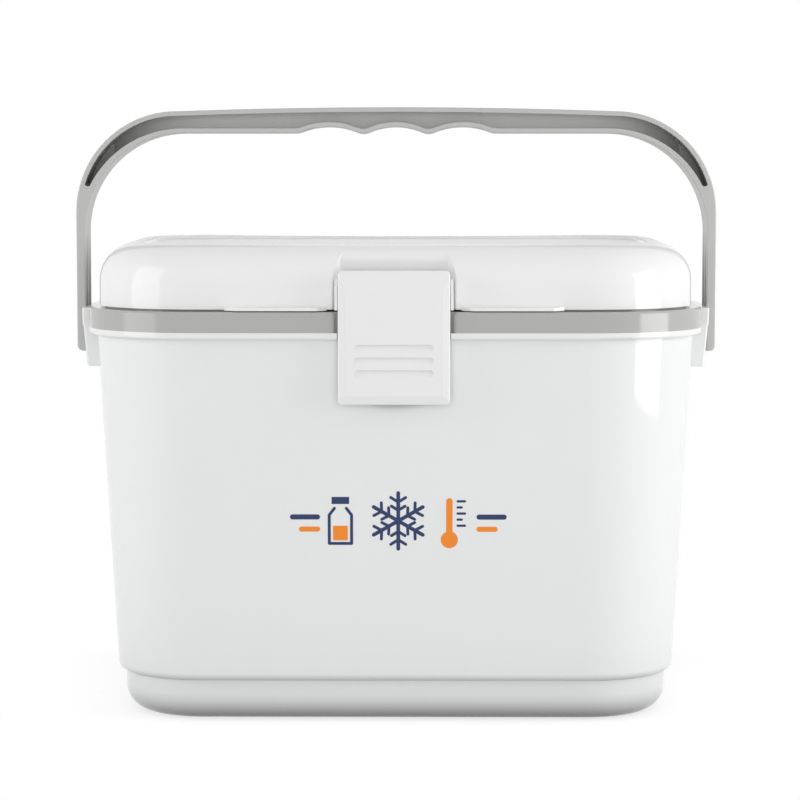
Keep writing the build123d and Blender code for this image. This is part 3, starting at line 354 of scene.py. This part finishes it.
def print_in(name, material, outlines):
    """Lay outlines on the tub's sloping front as one thin layer of ink, joined where they cross."""
    points = []
    areas = []
    for outline in outlines:
        areas.append(list(range(len(points), len(points) + len(outline))))
        points += outline
    flat, _, triangles, _, _, _ = delaunay_2d_cdt(points, [], areas, 1, JOIN_WITHIN_MM)
    mesh = bmesh.new()
    sides = []
    for lift in (-PRINT_LIFT / 2, PRINT_LIFT):
        corners = []
        for across, up in flat:
            x = PRINT_MIDDLE[0] + across / 1000
            z = PRINT_MIDDLE[1] + up / 1000 * math.cos(WALL_SLOPE)
            wall = WALL_TOP_Y + (WALL_TOP_Z - z) * math.tan(WALL_SLOPE)
            corners.append(mesh.verts.new((x, wall - lift, z)))
        sides.append(corners)
    back, front = sides
    rims = {}
    for triangle in triangles:
        mesh.faces.new([front[i] for i in triangle])
        mesh.faces.new([back[i] for i in reversed(triangle)])
        for first, second in zip(triangle, triangle[1:] + triangle[:1]):
            if rims.pop((second, first), None) is None:
                rims[(first, second)] = True
    for first, second in rims:
        mesh.faces.new((front[second], front[first], back[first], back[second]))
    loose = [corner for corner in mesh.verts if not corner.link_faces]
    bmesh.ops.delete(mesh, geom=loose, context="VERTS")
    layer = bpy.data.meshes.new(name)
    mesh.to_mesh(layer)
    mesh.free()
    layer.materials.append(material)
    piece = bpy.data.objects.new(name, layer)
    bpy.context.collection.objects.link(piece)
    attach(piece, "box")


def printing_ink(name, colour_code):
    """Two-part printing ink, satin, with the faint mottle that the pad leaves."""
    material, tree, place, output = new_material(name)
    mottle = node(tree, "ShaderNodeTexNoise", {"Scale": 1000 / PAD_MOTTLE_MM, "Detail": 3.0},
                  {"Vector": place})
    gloss = node(tree, "ShaderNodeMapRange", {"To Min": 0.28, "To Max": 0.42},
                 {"Value": mottle.outputs["Fac"]})
    film = node(tree, "ShaderNodeBsdfPrincipled", {"IOR": 1.50, "Base Color": ink(colour_code)},
                {"Roughness": gloss.outputs["Result"]})
    tree.links.new(film.outputs["BSDF"], output.inputs["Surface"])
    return material


blue_ink = printing_ink("Pad-printed two-part ink, navy", PRINT_BLUE)
orange_ink = printing_ink("Pad-printed two-part ink, orange", PRINT_ORANGE)

# Snowflake: six arms from the middle, each with two pairs of twigs.
ARM_LONG, ARM_WIDE = 14.2, 1.9
TWIG_WIDE = 1.5
TWIG_LEAN = math.radians(58)
TWIGS = ((5.4, 4.0), (9.6, 4.4))
flake = []
for turn in range(6):
    angle = math.radians(90 + 60 * turn)
    arm = Vector((math.cos(angle), math.sin(angle)))
    flake += pill((0, 0), arm * ARM_LONG, ARM_WIDE)
    for out, twig_long in TWIGS:
        for side in (-1, 1):
            lean = angle + side * TWIG_LEAN
            tip = arm * out + Vector((math.cos(lean), math.sin(lean))) * twig_long
            flake += pill(arm * out, tip, TWIG_WIDE)
print_in("print_snowflake", blue_ink, flake)

# Vial: glass in outline with sloping shoulders, its stopper above and a dose in it.
VIAL_X, VIAL_Z = -29.0, -1.0
GLASS_LINE = 1.5
GLASS_HALF, GLASS_FOOT, GLASS_SHOULDER = 5.6, 10.5, 4.0
NECK_HALF, NECK_TOP = 3.0, 7.4
STOPPER_HALF, STOPPER_UP, STOPPER_TALL = 4.4, 11.4, 3.6
DOSE_HALF, DOSE_DOWN, DOSE_TALL = 3.7, 5.2, 7.4
vial = []
foot_z = VIAL_Z - GLASS_FOOT
for side in (-1, 1):
    glass_x = VIAL_X + side * GLASS_HALF
    shoulder = (glass_x, VIAL_Z + GLASS_SHOULDER)
    vial += pill((glass_x, foot_z), shoulder, GLASS_LINE)
    vial += pill(shoulder, (VIAL_X + side * NECK_HALF, VIAL_Z + NECK_TOP), GLASS_LINE)
vial += pill((VIAL_X - GLASS_HALF, foot_z), (VIAL_X + GLASS_HALF, foot_z), GLASS_LINE)
stopper_z = VIAL_Z + STOPPER_UP
vial += [stroke((VIAL_X - STOPPER_HALF, stopper_z), (VIAL_X + STOPPER_HALF, stopper_z),
                STOPPER_TALL)]
print_in("print_vial", blue_ink, vial)
dose_z = VIAL_Z - DOSE_DOWN
dose = [stroke((VIAL_X - DOSE_HALF, dose_z), (VIAL_X + DOSE_HALF, dose_z), DOSE_TALL)]
print_in("print_vial_fill", orange_ink, dose)

# Thermometer: a bulb and stem, with long and short marks beside it.
GAUGE_X, GAUGE_Z = 25.6, -1.0
BULB_DOWN, BULB_RADIUS = 8.6, 4.3
STEM_UP, STEM_WIDE = 11.0, 3.2
MARKS = 5
MARK_FROM, MARK_LONG_TO, MARK_SHORT_TO = 4.2, 7.8, 6.2
MARK_LOWEST, MARK_STEP, MARK_WIDE = 1.4, 3.1, 1.2
bulb = (GAUGE_X, GAUGE_Z - BULB_DOWN)
gauge = [disc(bulb, BULB_RADIUS)] + pill(bulb, (GAUGE_X, GAUGE_Z + STEM_UP), STEM_WIDE)
print_in("print_thermometer", orange_ink, gauge)
marks = []
for step in range(MARKS):
    mark_z = GAUGE_Z - MARK_LOWEST + step * MARK_STEP
    mark_to = MARK_LONG_TO if step % 2 == 0 else MARK_SHORT_TO
    marks += pill((GAUGE_X + MARK_FROM, mark_z), (GAUGE_X + mark_to, mark_z), MARK_WIDE)
print_in("print_thermometer_marks", blue_ink, marks)

# Bars: a navy one over a shorter orange one at each end of the row.
BAR_FROM, BAR_WIDE = 40.5, 2.6
BLUE_BAR_TO, BLUE_BAR_Z = 53.0, 2.0
ORANGE_BAR_TO, ORANGE_BAR_Z = 48.5, -4.2
for side, end in ((-1, "left"), (1, "right")):
    bar_x = side * BAR_FROM
    blue_bar = pill((bar_x, BLUE_BAR_Z), (side * BLUE_BAR_TO, BLUE_BAR_Z), BAR_WIDE)
    orange_bar = pill((bar_x, ORANGE_BAR_Z), (side * ORANGE_BAR_TO, ORANGE_BAR_Z), BAR_WIDE)
    print_in(f"print_bar_blue_{end}", blue_ink, blue_bar)
    print_in(f"print_bar_orange_{end}", orange_ink, orange_bar)


# Studio: a sheet of white paper on the floor that runs out of sight, in a white room. Round the
# carrier's foot the paper is painted dark, as painted shade, so less light comes back up from there
# than from further out. The paper is clear from below, so that the underside can be looked at.
FLOOR_HALF = 6.0
FLOOR_GAP = 0.0002
FOOT_HALF = (0.150, 0.092, 0.0)
SHADOW_REACH = 0.05
SHADE_REACH = 0.022
WHITE = "#FFFFFF"
PAPER_NEAR = "#A8A8A8"
PAPER_GLOW = 0.70
# Colour of the paper near the foot, painted dark as painted shade.
PAPER_PAINTED_SHADE = "#303030"
PAPER_OPEN = "#E4E4E4"
WALL_LIGHT = 0.55


def seen_by(tree):
    """Two outputs: 1 for rays from the camera or through glass, and 1 for those or reflections."""
    ray = node(tree, "ShaderNodeLightPath").outputs
    direct = node(tree, "ShaderNodeMath", {},
                  {0: ray["Is Camera Ray"], 1: ray["Is Transmission Ray"]}, operation="MAXIMUM")
    either = node(tree, "ShaderNodeMath", {},
                  {0: direct.outputs["Value"], 1: ray["Is Glossy Ray"]}, operation="MAXIMUM")
    return direct.outputs["Value"], either.outputs["Value"]


floor_mesh = bpy.data.meshes.new("floor")
floor_mesh.from_pydata(
    [(-FLOOR_HALF, -FLOOR_HALF, -FLOOR_GAP), (FLOOR_HALF, -FLOOR_HALF, -FLOOR_GAP),
     (FLOOR_HALF, FLOOR_HALF, -FLOOR_GAP), (-FLOOR_HALF, FLOOR_HALF, -FLOOR_GAP)],
    [], [(0, 1, 2, 3)])
floor = bpy.data.objects.new("floor", floor_mesh)
bpy.context.collection.objects.link(floor)
paper, tree, place, output = new_material("White paper floor")
direct, either = seen_by(tree)

# How far a point of the paper is from the carrier's foot.
mirrored = node(tree, "ShaderNodeVectorMath", {}, {0: place}, operation="ABSOLUTE")
beyond = node(tree, "ShaderNodeVectorMath", {1: FOOT_HALF}, {0: mirrored.outputs["Vector"]},
              operation="SUBTRACT")
outside = node(tree, "ShaderNodeVectorMath", {}, {0: beyond.outputs["Vector"]},
               operation="MAXIMUM")
reach = node(tree, "ShaderNodeVectorMath", {}, {0: outside.outputs["Vector"]}, operation="LENGTH")

# What is looked at: paper that takes the shadow near the foot, and plain white further out.
near = node(tree, "ShaderNodeBsdfDiffuse", {"Color": ink(PAPER_NEAR)})
glow = node(tree, "ShaderNodeEmission", {"Color": ink(WHITE), "Strength": PAPER_GLOW})
glowing = node(tree, "ShaderNodeAddShader", {},
               {0: near.outputs["BSDF"], 1: glow.outputs["Emission"]})
white = node(tree, "ShaderNodeEmission", {"Color": ink(WHITE), "Strength": 1.0})
far = node(tree, "ShaderNodeMapRange", {"From Min": 0.0, "From Max": SHADOW_REACH},
           {"Value": reach.outputs["Value"]}, interpolation_type="SMOOTHSTEP")
bright = node(tree, "ShaderNodeMixShader", {},
              {0: far.outputs["Result"], 1: glowing.outputs["Shader"],
               2: white.outputs["Emission"]})

# What lights the carrier from below: paper painted dark close to the foot as painted shade, and
# white paper further out.
painted_shade = node(tree, "ShaderNodeBsdfDiffuse", {"Color": ink(PAPER_PAINTED_SHADE)})
open_paper = node(tree, "ShaderNodeBsdfDiffuse", {"Color": ink(PAPER_OPEN)})
past = node(tree, "ShaderNodeMapRange", {"From Min": 0.0, "From Max": SHADE_REACH},
            {"Value": reach.outputs["Value"]})
lit = node(tree, "ShaderNodeMixShader", {},
           {0: past.outputs["Result"], 1: painted_shade.outputs["BSDF"], 2: open_paper.outputs["BSDF"]})
shown = node(tree, "ShaderNodeMixShader", {},
             {0: either, 1: lit.outputs["Shader"], 2: bright.outputs["Shader"]})

below = node(tree, "ShaderNodeNewGeometry").outputs["Backfacing"]
under = node(tree, "ShaderNodeMath", {}, {0: below, 1: direct}, operation="MULTIPLY")
clear = node(tree, "ShaderNodeBsdfTransparent")
one_way = node(tree, "ShaderNodeMixShader", {},
               {0: under.outputs["Value"], 1: shown.outputs["Shader"], 2: clear.outputs["BSDF"]})
tree.links.new(one_way.outputs["Shader"], output.inputs["Surface"])
floor_mesh.materials.append(paper)

# Room: its walls light the carrier softly, and are plain white where they are seen or mirrored.
world = bpy.data.worlds.new("white studio")
bpy.context.scene.world = world
world.use_nodes = True
tree = world.node_tree
tree.nodes.clear()
direct, either = seen_by(tree)
walls = node(tree, "ShaderNodeBackground", {"Color": ink(WHITE), "Strength": WALL_LIGHT})
backdrop = node(tree, "ShaderNodeBackground", {"Color": ink(WHITE), "Strength": 1.0})
shown = node(tree, "ShaderNodeMixShader", {},
             {0: either, 1: walls.outputs["Background"], 2: backdrop.outputs["Background"]})
node(tree, "ShaderNodeOutputWorld", {}, {"Surface": shown.outputs["Shader"]})


# Lamps: two windows, left and right, that are only mirrored in the polish, and three softboxes that
# only light the carrier, one from each side and a wide one from the front.
LAMPS_AIM = (0, 0, 0.12)


def softbox(name, place, target, width, height, radiance, fills=True, mirrors=True):
    """Rectangular lamp at a place in metres, turned to a target. It fills, is mirrored, or both."""
    lamp = bpy.data.lights.new(name, "AREA")
    lamp.shape = "RECTANGLE"
    lamp.size, lamp.size_y = width, height
    lamp.energy = radiance * width * height * math.pi
    holder = bpy.data.objects.new(name, lamp)
    holder.location = place
    holder.rotation_euler = (Vector(target) - Vector(place)).to_track_quat("-Z", "Y").to_euler()
    holder.visible_diffuse = fills
    holder.visible_glossy = mirrors
    holder.visible_camera = False
    bpy.context.collection.objects.link(holder)


softbox("window left", (-1.48, -0.724, 0.75), (-0.12, -0.09, 0.75),
        width=1.00, height=1.50, radiance=1.6, fills=False)
softbox("window right", (0.826, -0.349, 0.305), (0.126, -0.08, 0.305),
        width=0.46, height=0.57, radiance=4.0, fills=False)
softbox("fill left", (-1.40, -0.35, 0.50), LAMPS_AIM,
        width=0.8, height=0.9, radiance=3.0, mirrors=False)
softbox("key right", (1.40, -0.35, 0.50), LAMPS_AIM,
        width=0.8, height=0.9, radiance=4.2, mirrors=False)
softbox("front light", (0.05, -1.50, 0.40), LAMPS_AIM,
        width=1.5, height=0.8, radiance=1.25, mirrors=False)


# Camera: a short telephoto a little above the lid, tilted down.
CAMERA_PLACE = (0.0154, -1.4839, 0.28897)
CAMERA_DOWN = 5.107
CAMERA_LEFT = 0.5157
LENS_MM = 125.88
SENSOR_MM = 36.0
lens = bpy.data.cameras.new("camera")
lens.lens = LENS_MM
lens.sensor_width = SENSOR_MM
lens.clip_start = 0.01
camera = bpy.data.objects.new("camera", lens)
camera.location = CAMERA_PLACE
camera.rotation_euler = (math.radians(90 - CAMERA_DOWN), 0.0, math.radians(CAMERA_LEFT))
bpy.context.collection.objects.link(camera)
bpy.context.scene.camera = camera
bpy.context.scene.view_settings.view_transform = "Standard"
